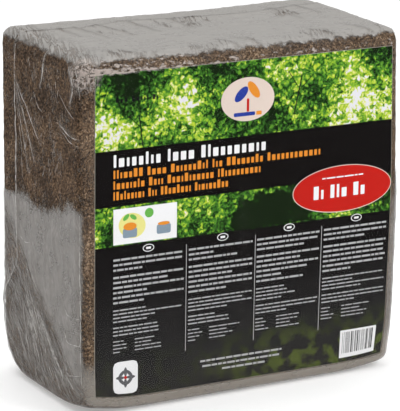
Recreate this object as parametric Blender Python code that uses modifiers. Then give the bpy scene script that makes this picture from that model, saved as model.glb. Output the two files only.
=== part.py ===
"""A pressed block of coir potting soil with a printed label on its front, wrapped in clear shrink film.

Metres, +Z up.  The origin is the middle of the underside, on the surface that the block stands on.
The label faces -Y and the film's weld seam runs up the narrow sides.
"""
import math
import random

import bmesh
import bpy
from mathutils import Matrix, Vector, noise

# Pressed block
BLOCK_WIDTH = 0.3000
BLOCK_DEPTH = 0.1560
BLOCK_HEIGHT = 0.2980
EDGE_RADIUS = 0.0100
WORN_EDGE_RADIUS = 0.0420
WORN_EDGE_LENGTH = 0.1500
BLUNT_CORNER_REACH = 0.0280
BLUNT_CORNER_ROW = 0.0238
LUMP_HEIGHT = 0.0005
LUMP_LENGTH = 0.1100
BLOCK_PITCH = 0.0300

# Printed sheet
LABEL_LEFT_MARGIN = 0.0118
LABEL_RIGHT_MARGIN = 0.0092
LABEL_TOP_MARGIN = 0.01235
LABEL_BOTTOM_MARGIN = 0.01115
LABEL_THICKNESS = 0.0003
LABEL_TILT = math.radians(0.4)
LABEL_PITCH = 0.0300
LABEL_EDGE_PITCH = 0.0060

# Film.  The real film is about 0.05 mm thick
FILM_THICKNESS = 0.0006
SEAM_HEIGHT = 0.0018
SEAM_WIDTH = 0.0030
SEAM_BACK_OF_CENTRE = 0.0420
FOLD_HEIGHT = 0.0018
FAINT_FOLD_HEIGHT = 0.0013
FOLD_WIDTH = 0.0060
PLEATS = 8
TENT_START = 0.0048
TENT_END = 0.0168
FILM_PITCH_WIDE = 0.0195
FILM_PITCH_DEEP = 0.0102
FILM_PITCH_TALL = 0.0112
VENT_DIAMETER = 0.0060
VENT_HEIGHT = 0.2200

# Space between touching pieces
CLEARANCE = 0.0003

EDGE_ROW_ANGLE = math.radians(22.5)
SMOOTH_ANGLE = math.radians(50)
SEED = 7

HALF = Vector((BLOCK_WIDTH, BLOCK_DEPTH, BLOCK_HEIGHT)) / 2
BASE_LIFT = FILM_THICKNESS + CLEARANCE
LABEL_WIDTH = BLOCK_WIDTH - LABEL_LEFT_MARGIN - LABEL_RIGHT_MARGIN
LABEL_HEIGHT = BLOCK_HEIGHT - LABEL_TOP_MARGIN - LABEL_BOTTOM_MARGIN
LABEL_MIDDLE = Vector((
    (LABEL_LEFT_MARGIN - LABEL_RIGHT_MARGIN) / 2,
    -HALF.y,
    (LABEL_BOTTOM_MARGIN - LABEL_TOP_MARGIN) / 2,
))
LABEL_LIFT = 2 * CLEARANCE
LABEL_SPACE = LABEL_LIFT + LABEL_THICKNESS


def smooth_step(low, high, value):
    """0 below low, 1 above high, and a smooth rise between them."""
    share = min(max((value - low) / (high - low), 0.0), 1.0)
    return share * share * (3 - 2 * share)


def share_of_half(x, y, z):
    """A place in the block, given as shares of its half sizes."""
    return Vector((x * HALF.x, y * HALF.y, z * HALF.z))


# Soft bulges of the block: centre, reach, and how far the surface is pushed
BULGES = (
    (share_of_half(-0.85, 0.95, 1.0), 0.100, Vector((0, 0, 0.0020))),
    (share_of_half(0.90, 0.30, 1.0), 0.070, Vector((0, 0, 0.0016))),
    (share_of_half(1.0, -0.80, 0.05), 0.110, Vector((0.0036, 0, 0))),
)

# Blunt lower front corners: place, reach, and how far the corner is pushed in
BLUNT_CORNERS = (
    (share_of_half(-1, -1, -1), BLUNT_CORNER_REACH, Vector((0.0020, 0.0020, 0.0055))),
    (share_of_half(1, -1, -1), BLUNT_CORNER_REACH, Vector((-0.0015, 0.0020, 0.0035))),
)


def lower_back_radius(x):
    """The round of the lower back edge, which is worn most at its left end."""
    along = smooth_step(0.0, WORN_EDGE_LENGTH, x + HALF.x)
    return EDGE_RADIUS + (WORN_EDGE_RADIUS - EDGE_RADIUS) * (1 - along)


def core_and_outward(place):
    """The point of the block's core that a point of its plain box belongs to, and the way out from it."""
    core = Vector([min(max(place[i], EDGE_RADIUS - HALF[i]), HALF[i] - EDGE_RADIUS) for i in range(3)])
    radius = lower_back_radius(place.x)
    centre = Vector((core.x, HALF.y - radius, radius - HALF.z))
    if place.y <= centre.y or place.z >= centre.z:
        return core, (place - core).normalized()
    turned = Vector((0, place.y - centre.y, place.z - centre.z))
    square = max(turned.y, -turned.z)
    inner = min(square, radius - EDGE_RADIUS)
    turned.normalize()
    outward = Vector((place.x - core.x, 0, 0)) + turned * (square - inner)
    return centre + turned * inner, outward.normalized()


def on_block(place, offset=0.0):
    """Moves a point of the block's plain box to its rounded, uneven surface, offset outwards."""
    core, outward = core_and_outward(place)
    uneven = 1 - smooth_step(0.3, 0.9, max(-outward.z, abs(outward.y)))
    lump = LUMP_HEIGHT * noise.noise(place / LUMP_LENGTH) * uneven
    moved = core + outward * (EDGE_RADIUS + lump + offset)
    above_foot = smooth_step(-HALF.z, -HALF.z + 4 * EDGE_RADIUS, moved.z)
    push = Vector((0, 0, 0))
    for centre, reach, swell in BULGES:
        push += swell * math.exp(-((moved - centre).length / reach) ** 2) * above_foot
    for corner, reach, dent in BLUNT_CORNERS:
        push += dent * math.exp(-((moved - corner).length / reach) ** 2)
    return moved + push + Vector((0, 0, HALF.z + BASE_LIFT))


def label_place(right, up):
    """The place on the front of the block's plain box of a point of the flat label."""
    turned_right = right * math.cos(LABEL_TILT) + up * math.sin(LABEL_TILT)
    turned_up = up * math.cos(LABEL_TILT) - right * math.sin(LABEL_TILT)
    return LABEL_MIDDLE + Vector((turned_right, 0, turned_up))


def label_room(place):
    """Extra space under the film where the label lies, which dies out beyond the label's edges."""
    from_middle = place - LABEL_MIDDLE
    right = from_middle.x * math.cos(LABEL_TILT) - from_middle.z * math.sin(LABEL_TILT)
    up = from_middle.z * math.cos(LABEL_TILT) + from_middle.x * math.sin(LABEL_TILT)
    beyond = max(abs(right) - LABEL_WIDTH / 2, abs(up) - LABEL_HEIGHT / 2, 0.0) + from_middle.y
    return LABEL_SPACE * (1 - smooth_step(TENT_START, TENT_END, beyond))


def fold(start, end, height=FOLD_HEIGHT, width=FOLD_WIDTH):
    """A straight ridge of film between two points."""
    return (start, end, height, width)


def folds_through(points, height=FOLD_HEIGHT, width=FOLD_WIDTH):
    """Ridges of film that run on from point to point, given as shares of the block's half sizes."""
    places = [share_of_half(*point) for point in points]
    return [fold(start, end, height, width) for start, end in zip(places, places[1:])]


def side_folds():
    """Folds of the narrow left side: the weld seam, its fork, and the slanted pleats below it."""
    seam = SEAM_BACK_OF_CENTRE / HALF.y
    fork = (-1, seam, -0.30)
    folds = folds_through([(-1, seam, 1.0), fork], SEAM_HEIGHT, SEAM_WIDTH)
    folds += folds_through([fork, (-1, seam + 0.24, -0.47), (-1, seam + 0.37, -0.59)])
    draw = random.Random(SEED)
    for i in range(PLEATS):
        share = i / (PLEATS - 1)
        top = (-1, seam - 0.34 + 0.44 * share, -0.29 - 0.25 * share)
        foot = (-1, -0.60 + 0.85 * share, -0.90)
        folds += folds_through([top, foot], FOLD_HEIGHT * draw.uniform(0.6, 1.1))
    for level in (-0.44, -0.60, -0.80):
        folds += folds_through([(-1, -0.64, level - 0.03), (-1, -0.94, level)])
    for y, z in ((-0.10, 0.44), (0.06, 0.34), (0.22, 0.26)):
        folds += folds_through([(-1, seam, 0.76), (-1, y, z)], FAINT_FOLD_HEIGHT)
    folds += folds_through([(-1, -0.24, 0.98), (-1, -0.09, 0.77)])
    folds += folds_through([(-1, -0.79, 0.95), (-1, -0.88, 0.84), (-1, -0.80, 0.74)])
    folds += folds_through([(-1, -0.59, 0.62), (-1, -0.96, 0.57)])
    return folds


def top_folds():
    """Folds of the top: a long crease behind the middle, and short pleats from it and the front edge."""
    crease = ((-0.95, 0.52), (-0.57, 0.45), (-0.35, 0.61), (0.08, 0.51), (0.55, 0.44), (0.95, 0.53))
    folds = folds_through([(x, y, 1) for x, y in crease], FAINT_FOLD_HEIGHT)
    draw = random.Random(SEED + 1)
    for x in (-0.75, -0.66, -0.52, -0.31, -0.06, 0.60, 0.76):
        end = (x + draw.uniform(0.0, 0.08), draw.uniform(-0.15, 0.05), 1)
        folds += folds_through([(x, 0.50, 1), end], FOLD_HEIGHT * draw.uniform(0.7, 1.0))
    for x in (-0.74, -0.62, -0.03, 0.10, 0.58, 0.82):
        end = (x - draw.uniform(0.02, 0.08), draw.uniform(-0.72, -0.58), 1)
        folds += folds_through([(x, -1, 1), end], FAINT_FOLD_HEIGHT)
    return folds


def hidden_folds():
    """Folds of the right side and the back, like those in view: a weld seam and pleats at the corners."""
    seam = SEAM_BACK_OF_CENTRE / HALF.y
    folds = folds_through([(1, seam, -0.85), (1, seam, 1.0)], SEAM_HEIGHT, SEAM_WIDTH)
    draw = random.Random(SEED + 2)
    for side in (-1, 1):
        for i in range(4):
            start = (1, seam, side * (0.90 - 0.08 * i))
            end = (1, seam - 0.35 - 0.22 * i, side * draw.uniform(0.42, 0.60))
            folds += folds_through([start, end], FOLD_HEIGHT * draw.uniform(0.6, 1.0))
        for x_side in (-1, 1):
            for i in range(3):
                x = 0.90 - 0.10 * i
                start = (x_side * x, 1, side * 0.84)
                end = (x_side * (x - 0.12), 1, side * draw.uniform(0.44, 0.60))
                folds += folds_through([start, end], FOLD_HEIGHT * draw.uniform(0.6, 1.0))
    return folds


def distance_to_line(place, start, end):
    """Distance from a point to a straight stretch, and the share of the stretch it lies at."""
    along = end - start
    share = min(max((place - start).dot(along) / along.length_squared, 0.0), 1.0)
    return (place - start - along * share).length, share


def fold_rise(place, folds):
    """How far the folds lift the film off the block at a point."""
    rise = 0.0
    for start, end, height, width in folds:
        distance, share = distance_to_line(place, start, end)
        taper = 1 - 0.5 * share
        rise = max(rise, height * taper * math.exp(-(distance / width) ** 2))
    return rise * smooth_step(EDGE_RADIUS / 2, 2 * EDGE_RADIUS, place.z + HALF.z)


def seam_rows():
    """Places of the cuts along the depth that let the weld seam stand up as a narrow ridge."""
    return [SEAM_BACK_OF_CENTRE + i * SEAM_WIDTH for i in (-1, 0, 1)]


def edge_rows(half, pitch):
    """Places of the cuts along one axis: rows in the rounded edges, and even rows between them."""
    flat = half - EDGE_RADIUS
    turn = EDGE_RADIUS * math.tan(EDGE_ROW_ANGLE)
    count = max(2, round(2 * flat / pitch))
    even = [-flat + 2 * flat * i / count for i in range(count + 1)]
    return [-flat - turn] + even + [flat + turn]


def cut_rows(bm, axis, places):
    """Cuts a mesh by planes across one axis."""
    across = Vector((0, 0, 0))
    across[axis] = 1
    for place in places:
        everything = bm.verts[:] + bm.edges[:] + bm.faces[:]
        bmesh.ops.bisect_plane(bm, geom=everything, dist=1e-7, plane_co=across * place, plane_no=across)


def worn_rows():
    """Distances from the lower back edge of the cuts that let it be rounded where it is worn."""
    return [share * WORN_EDGE_RADIUS for share in (0.36, 0.66)]


def plain_cage(pitches):
    """The block's plain box, cut into rows that are close together at its edges."""
    bm = bmesh.new()
    bmesh.ops.create_cube(bm, size=1.0)
    bmesh.ops.scale(bm, vec=2 * HALF, verts=bm.verts)
    for axis, pitch in enumerate(pitches):
        cut_rows(bm, axis, edge_rows(HALF[axis], pitch))
    cut_rows(bm, 1, [HALF.y - inset for inset in worn_rows()])
    cut_rows(bm, 2, [inset - HALF.z for inset in worn_rows()])
    return bm


def block_cage():
    """The cage of the block and of the hollow in the film, so that the two have the same facets."""
    bm = plain_cage((BLOCK_PITCH,) * 3)
    cut_rows(bm, 0, [side * (HALF.x - BLUNT_CORNER_ROW) for side in (-1, 1)])
    cut_rows(bm, 1, [BLUNT_CORNER_ROW - HALF.y])
    bmesh.ops.triangulate(bm, faces=bm.faces[:], quad_method="FIXED")
    return bm


def material(name, colour, roughness, alpha=1.0):
    """A plain non-metal finish."""
    made = bpy.data.materials.new(name)
    made.use_nodes = True
    shader = made.node_tree.nodes["Principled BSDF"]
    shader.inputs["Base Color"].default_value = (*colour, 1.0)
    shader.inputs["Roughness"].default_value = roughness
    shader.inputs["Metallic"].default_value = 0.0
    shader.inputs["Alpha"].default_value = alpha
    return made


def add_object(name, bm, collection, finish=None):
    """Makes an object from a mesh, shaded smooth except at sharp edges."""
    bmesh.ops.recalc_face_normals(bm, faces=bm.faces[:])
    mesh = bpy.data.meshes.new(name)
    bm.to_mesh(mesh)
    bm.free()
    mesh.shade_smooth()
    mesh.set_sharp_from_angle(angle=SMOOTH_ANGLE)
    if finish:
        mesh.materials.append(finish)
    added = bpy.data.objects.new(name, mesh)
    collection.objects.link(added)
    return added


def add_cutter(name, bm, collection):
    """Makes an object that only cuts others."""
    cutter = add_object(name, bm, collection)
    cutter.hide_render = True
    cutter.display_type = "WIRE"
    return cutter


def cut_with(target, cutter):
    """Takes a cutter's shape out of an object."""
    cut = target.modifiers.new("cut_" + cutter.name, "BOOLEAN")
    cut.operation = "DIFFERENCE"
    cut.object = cutter
    cut.solver = "EXACT"


def make_coir_block(collection):
    """The pressed block, with rounded and slightly uneven faces."""
    bm = block_cage()
    for vert in bm.verts:
        vert.co = on_block(vert.co)
    return add_object("coir_block", bm, collection, material("pressed_coir", (0.16, 0.10, 0.065), 0.92))


def make_front_label(collection):
    """The printed sheet, laid on the front of the block a little out of square."""
    bm = bmesh.new()
    bmesh.ops.create_grid(bm, x_segments=1, y_segments=1, size=0.5)
    bmesh.ops.scale(bm, vec=(LABEL_WIDTH, LABEL_HEIGHT, 1), verts=bm.verts)
    for axis, size in enumerate((LABEL_WIDTH, LABEL_HEIGHT)):
        flat = size / 2 - LABEL_EDGE_PITCH
        count = round(2 * flat / LABEL_PITCH)
        cut_rows(bm, axis, [-flat + 2 * flat * i / count for i in range(count + 1)])
    for vert in bm.verts:
        vert.co = on_block(label_place(vert.co.x, vert.co.y), LABEL_LIFT)
    bmesh.ops.recalc_face_normals(bm, faces=bm.faces[:])
    if sum(face.normal.y for face in bm.faces) > 0:
        bmesh.ops.reverse_faces(bm, faces=bm.faces[:])
    mesh = bpy.data.meshes.new("front_label")
    bm.to_mesh(mesh)
    bm.free()
    mesh.materials.append(material("label_print", (0.10, 0.16, 0.05), 0.45))
    label = bpy.data.objects.new("front_label", mesh)
    collection.objects.link(label)
    wall = label.modifiers.new("sheet", "SOLIDIFY")
    wall.thickness = LABEL_THICKNESS
    wall.offset = 1.0
    return label


def make_shrink_film(collection, cutters):
    """The film: a thin shell round the block and the label, with ridges where it is welded and folded."""
    folds = side_folds() + top_folds() + hidden_folds()
    skin = plain_cage((FILM_PITCH_WIDE, FILM_PITCH_DEEP, FILM_PITCH_TALL))
    cut_rows(skin, 1, seam_rows())
    for vert in skin.verts:
        lift = CLEARANCE + label_room(vert.co) + FILM_THICKNESS + fold_rise(vert.co, folds)
        vert.co = on_block(vert.co, lift)
    clear = material("clear_film", (0.62, 0.60, 0.57), 0.25, 0.35)
    film = add_object("shrink_film", skin, collection, clear)

    hollow = block_cage()
    for vert in hollow.verts:
        vert.co = on_block(vert.co, CLEARANCE + label_room(vert.co))
    cut_with(film, add_cutter("film_hollow", hollow, cutters))

    vent = bmesh.new()
    bmesh.ops.create_cone(
        vent,
        cap_ends=True,
        segments=16,
        radius1=VENT_DIAMETER / 2,
        radius2=VENT_DIAMETER / 2,
        depth=4 * EDGE_RADIUS,
    )
    bmesh.ops.rotate(vent, verts=vent.verts, matrix=Matrix.Rotation(math.radians(90), 3, "X"))
    bmesh.ops.translate(vent, verts=vent.verts, vec=(0, HALF.y, VENT_HEIGHT))
    cut_with(film, add_cutter("film_vent", vent, cutters))
    return film


def main():
    """Clears the scene and builds the three pieces."""
    for old in list(bpy.data.objects):
        bpy.data.objects.remove(old, do_unlink=True)
    pieces = bpy.data.collections.new("wrapped_coir_block")
    cutters = bpy.data.collections.new("cutters")
    bpy.context.scene.collection.children.link(pieces)
    bpy.context.scene.collection.children.link(cutters)
    make_coir_block(pieces)
    make_front_label(pieces)
    make_shrink_film(pieces, cutters)


main()
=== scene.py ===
"""Looks of a pressed block of coir potting soil in clear shrink film, with a printed sheet on its front.

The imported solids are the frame.  Everything is in metres, +Z up, with the label facing -Y and the origin in
the middle of the underside.  Block, sheet and film are made on one form, so each lies on the one below it.
"""

from __future__ import annotations

import logging
import math
import random
from collections.abc import Callable
from dataclasses import dataclass
from enum import Enum

import bpy
import numpy as np
from mathutils import Matrix, Vector, noise


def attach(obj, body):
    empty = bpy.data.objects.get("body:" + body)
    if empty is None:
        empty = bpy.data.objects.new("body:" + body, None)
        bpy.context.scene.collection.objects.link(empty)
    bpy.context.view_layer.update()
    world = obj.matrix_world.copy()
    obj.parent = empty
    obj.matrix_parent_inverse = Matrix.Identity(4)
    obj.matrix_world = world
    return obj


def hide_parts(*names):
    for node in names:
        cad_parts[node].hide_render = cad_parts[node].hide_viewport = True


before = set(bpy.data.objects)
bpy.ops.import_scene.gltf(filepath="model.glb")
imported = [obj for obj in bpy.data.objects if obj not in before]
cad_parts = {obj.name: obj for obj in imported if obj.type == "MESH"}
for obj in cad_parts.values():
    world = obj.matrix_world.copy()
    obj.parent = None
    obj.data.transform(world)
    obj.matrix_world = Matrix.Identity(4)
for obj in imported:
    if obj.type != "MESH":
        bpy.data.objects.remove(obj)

logging.basicConfig(level=logging.INFO, format="%(message)s")
LOG = logging.getLogger("wrapped_coir_block")

BODY = "root"
MILLIMETRE = 0.001
SMOOTH_ANGLE = math.radians(50)

Triple = tuple[float, float, float]
Span = tuple[float, float]
Colour = Triple
Line = list[Triple]
FlatLine = list[Span]
Strokes = list[tuple[FlatLine, float]]
Piece = bpy.types.Object
Socket = bpy.types.NodeSocket


def smooth_step(low: float, high: float, value: np.ndarray | float) -> np.ndarray | float:
    """Rises smoothly from 0 to 1.

    Args:
        low: Where the rise starts.
        high: Where it ends.
        value: The number or numbers to place on it.

    Returns:
        0 below low, 1 above high, and a smooth share between them.
    """
    share = np.clip((value - low) / (high - low), 0.0, 1.0)
    return share * share * (3 - 2 * share)


def noise_at(places: np.ndarray, grain: Triple, seed: float = 0.0) -> np.ndarray:
    """Reads a soft noise at many places.

    Args:
        places: One row for each place.
        grain: The size of the noise's lumps along each axis.
        seed: Shifts the noise, so that two of them differ.

    Returns:
        One value from about -1 to 1 for each place.
    """
    scaled = places / np.array(grain) + seed
    return np.array([noise.noise(Vector(place)) for place in scaled])


class Side(Enum):
    """A narrow side of the block, by the sign of its place along X."""

    LEFT = -1
    RIGHT = 1


@dataclass(frozen=True)
class Bulge:
    """A soft push of the form round one place, given in shares of the block's half sizes."""

    at: Triple
    reach: float
    push: Triple
    keeps_foot: bool = True


@dataclass(frozen=True)
class BlockForm:
    """The rounded, slightly uneven form that the block, the sheet and the film all follow."""

    width: float = 0.3000
    depth: float = 0.1560
    height: float = 0.2980
    edge_radius: float = 0.0100
    worn_radius: float = 0.0420
    worn_length: float = 0.1500
    lump_height: float = 0.0005
    lump_length: float = 0.1100
    clearance: float = 0.0003
    film_solid: float = 0.0006
    label_left: float = 0.0118
    label_right: float = 0.0092
    label_top: float = 0.01235
    label_bottom: float = 0.01115
    label_thickness: float = 0.0003
    label_tilt: float = math.radians(0.4)
    tent_start: float = 0.0048
    tent_end: float = 0.0168
    bulges: tuple[Bulge, ...] = (
        Bulge((-0.85, 0.95, 1.0), 0.100, (0, 0, 0.0020)),
        Bulge((0.90, 0.30, 1.0), 0.070, (0, 0, 0.0016)),
        Bulge((1.0, -0.80, 0.05), 0.110, (0.0036, 0, 0)),
        Bulge((-1, -1, -1), 0.028, (0.0020, 0.0020, 0.0055), False),
        Bulge((1, -1, -1), 0.028, (-0.0015, 0.0020, 0.0035), False),
    )

    @property
    def half(self) -> np.ndarray:
        """Half of the block's width, depth and height."""
        return np.array([self.width, self.depth, self.height]) / 2

    @property
    def base_lift(self) -> float:
        """How high the block's underside is above the floor."""
        return self.film_solid + self.clearance

    @property
    def label_width(self) -> float:
        """Width of the printed sheet."""
        return self.width - self.label_left - self.label_right

    @property
    def label_height(self) -> float:
        """Height of the printed sheet."""
        return self.height - self.label_top - self.label_bottom

    @property
    def label_lift(self) -> float:
        """How far the sheet's back is off the block."""
        return 2 * self.clearance

    def outer_lift(self, places: np.ndarray) -> np.ndarray:
        """How far the film's outside is off the block where it isn't folded."""
        return self.clearance + self.film_solid + self.label_room(places)

    def core_and_outward(self, places: np.ndarray) -> tuple[np.ndarray, np.ndarray]:
        """Splits places on the plain box into points of an inner core and ways out from it.

        Args:
            places: Points on the plain box, one in each row.

        Returns:
            The core's points, and the unit vectors from them to the rounded surface.
        """
        half, edge = self.half, self.edge_radius
        core = np.clip(places, edge - half, half - edge)
        outward = places - core
        along = smooth_step(0.0, self.worn_length, places[:, 0] + half[0])
        radius = edge + (self.worn_radius - edge) * (1 - along)
        centre = np.stack([half[1] - radius, radius - half[2]], 1)
        turned = places[:, 1:] - centre
        worn = (turned[:, 0] > 0) & (turned[:, 1] < 0)
        square = np.maximum(turned[:, 0], -turned[:, 1])
        inner = np.minimum(square, radius - edge)
        turned /= np.maximum(np.linalg.norm(turned, axis=1, keepdims=True), 1e-9)
        worn_core = np.column_stack([core[:, 0], centre + turned * inner[:, None]])
        worn_out = np.column_stack([outward[:, 0], turned * (square - inner)[:, None]])
        core[worn] = worn_core[worn]
        outward[worn] = worn_out[worn]
        return core, outward / np.linalg.norm(outward, axis=1, keepdims=True)

    def on_block(self, places: np.ndarray, offset: np.ndarray | float = 0.0) -> np.ndarray:
        """Moves points of the plain box to the form's surface.

        Args:
            places: Points on the plain box, one in each row.
            offset: How far outside the block's own surface each one comes to lie.

        Returns:
            The moved points, in the frame.
        """
        core, outward = self.core_and_outward(places)
        steep = np.maximum(-outward[:, 2], np.abs(outward[:, 1]))
        lump = self.lump_height * noise_at(places, (self.lump_length,) * 3)
        lump *= 1 - smooth_step(0.3, 0.9, steep)
        moved = core + outward * (self.edge_radius + lump + offset)[:, None]
        foot = smooth_step(-self.half[2], 4 * self.edge_radius - self.half[2], moved[:, 2])
        push = np.zeros_like(moved)
        for bulge in self.bulges:
            away = np.linalg.norm(moved - np.array(bulge.at) * self.half, axis=1)
            share = np.exp(-((away / bulge.reach) ** 2)) * (foot if bulge.keeps_foot else 1.0)
            push += share[:, None] * np.array(bulge.push)
        return moved + push + np.array([0, 0, self.half[2] + self.base_lift])

    @property
    def label_middle(self) -> np.ndarray:
        """The middle of the sheet on the front of the plain box."""
        across = (self.label_left - self.label_right) / 2
        up = (self.label_bottom - self.label_top) / 2
        return np.array([across, -self.half[1], up])

    def label_places(self, flat: np.ndarray) -> np.ndarray:
        """Lays points of the flat sheet on the front of the plain box.

        Args:
            flat: Distances to the right of the sheet's middle and above it, one point in each row.

        Returns:
            The points on the plain box.
        """
        cos, sin = math.cos(self.label_tilt), math.sin(self.label_tilt)
        right = flat[:, 0] * cos + flat[:, 1] * sin
        up = flat[:, 1] * cos - flat[:, 0] * sin
        return self.label_middle + np.column_stack([right, np.zeros(len(flat)), up])

    def label_room(self, places: np.ndarray) -> np.ndarray:
        """Room under the film where the sheet lies, which dies out beyond the sheet's edges.

        Args:
            places: Points on the plain box, one in each row.

        Returns:
            The room at each point.
        """
        cos, sin = math.cos(self.label_tilt), math.sin(self.label_tilt)
        away = places - self.label_middle
        right = away[:, 0] * cos - away[:, 2] * sin
        up = away[:, 2] * cos + away[:, 0] * sin
        beyond = np.maximum(np.abs(right) - self.label_width / 2, np.abs(up) - self.label_height / 2)
        beyond = np.maximum(beyond, 0.0) + away[:, 1]
        inside = 1 - smooth_step(self.tent_start, self.tent_end, beyond)
        return (self.label_lift + self.label_thickness) * inside


FORM = BlockForm()


@dataclass(frozen=True)
class Fold:
    """A straight ridge of film between two places, given in shares of the block's half sizes."""

    start: Triple
    end: Triple
    height: float = 0.0018
    width: float = 0.0060


@dataclass
class FoldPlan:
    """Where the film is welded, creased and pleated."""

    seam_back: float = 0.0420
    seam_height: float = 0.0018
    seam_width: float = 0.0030
    fold_height: float = 0.0018
    faint_height: float = 0.0013
    pleats: int = 8
    pleat_turn: float = math.radians(42)
    seed: int = 7

    @property
    def seam(self) -> float:
        """The weld seam's place along the depth, as a share of the half depth."""
        return self.seam_back / FORM.half[1]

    def through(self, points: Line, height: float, width: float = 0.0060) -> list[Fold]:
        """Ridges that run on from point to point."""
        return [Fold(start, end, height, width) for start, end in zip(points, points[1:])]

    def left(self) -> list[Fold]:
        """Folds of the narrow left side: the weld seam, its fork, and the slanted pleats below it."""
        seam, tall = self.seam, self.fold_height
        fork = (-1, seam, -0.30)
        folds = self.through([(-1, seam, 1.0), fork], self.seam_height, self.seam_width)
        folds += self.through([fork, (-1, seam + 0.24, -0.47), (-1, seam + 0.37, -0.59)], tall)
        draw = random.Random(self.seed)
        for i in range(self.pleats):
            share = i / (self.pleats - 1)
            top = (-1, seam - 0.34 + 0.44 * share, -0.29 - 0.25 * share)
            foot = (-1, -0.60 + 0.85 * share, -0.90)
            folds += self.through([top, foot], tall * draw.uniform(0.6, 1.1))
        for level in (-0.44, -0.60, -0.80):
            folds += self.through([(-1, -0.64, level - 0.03), (-1, -0.94, level)], tall)
        for y, z in ((-0.10, 0.44), (0.06, 0.34), (0.22, 0.26)):
            folds += self.through([(-1, seam, 0.76), (-1, y, z)], self.faint_height)
        folds += self.through([(-1, -0.24, 0.98), (-1, -0.09, 0.77)], tall)
        folds += self.through([(-1, -0.79, 0.95), (-1, -0.88, 0.84), (-1, -0.80, 0.74)], tall)
        folds += self.through([(-1, -0.59, 0.62), (-1, -0.96, 0.57)], tall)
        return folds

    def top(self) -> list[Fold]:
        """Folds of the top: a long crease behind the middle, and short pleats from it and the front edge."""
        crease = ((-0.95, 0.52), (-0.57, 0.45), (-0.35, 0.61), (0.08, 0.51), (0.55, 0.44), (0.95, 0.53))
        folds = self.through([(x, y, 1) for x, y in crease], self.faint_height)
        draw = random.Random(self.seed + 1)
        for x in (-0.75, -0.66, -0.52, -0.31, -0.06, 0.60, 0.76):
            end = (x + draw.uniform(0.0, 0.08), draw.uniform(-0.15, 0.05), 1)
            folds += self.through([(x, 0.50, 1), end], self.fold_height * draw.uniform(0.7, 1.0))
        for x in (-0.74, -0.62, -0.03, 0.10, 0.58, 0.82):
            end = (x - draw.uniform(0.02, 0.08), draw.uniform(-0.72, -0.58), 1)
            folds += self.through([(x, -1, 1), end], self.faint_height)
        return folds

    def hidden(self) -> list[Fold]:
        """Folds of the right side and the back, like those in view."""
        seam, tall = self.seam, self.fold_height
        folds = self.through([(1, seam, -0.85), (1, seam, 1.0)], self.seam_height, self.seam_width)
        draw = random.Random(self.seed + 2)
        for side in (-1, 1):
            for i in range(4):
                start = (1, seam, side * (0.90 - 0.08 * i))
                end = (1, seam - 0.35 - 0.22 * i, side * draw.uniform(0.42, 0.60))
                folds += self.through([start, end], tall * draw.uniform(0.6, 1.0))
            for x_side in (-1, 1):
                for i in range(3):
                    x = 0.90 - 0.10 * i
                    start = (x_side * x, 1, side * 0.84)
                    end = (x_side * (x - 0.12), 1, side * draw.uniform(0.44, 0.60))
                    folds += self.through([start, end], tall * draw.uniform(0.6, 1.0))
        return folds

    def rise(self, places: np.ndarray, sharpness: float = 1.0) -> np.ndarray:
        """How far the folds lift the film.

        Args:
            places: Points on the plain box, one in each row.
            sharpness: 1 for the full width of each fold, and more for a narrower one.

        Returns:
            The lift at each point.
        """
        lift = np.zeros(len(places))
        for fold in self.left() + self.top() + self.hidden():
            start, end = np.array(fold.start) * FORM.half, np.array(fold.end) * FORM.half
            along = end - start
            share = np.clip((places - start) @ along / (along @ along), 0.0, 1.0)
            away = np.linalg.norm(places - start - share[:, None] * along, axis=1)
            height = fold.height * (1 - 0.5 * share) * np.exp(-((away * sharpness / fold.width) ** 2))
            lift = np.maximum(lift, height)
        foot = smooth_step(FORM.edge_radius / 2, 2 * FORM.edge_radius, places[:, 2] + FORM.half[2])
        return lift * foot


FOLDS = FoldPlan()


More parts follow.
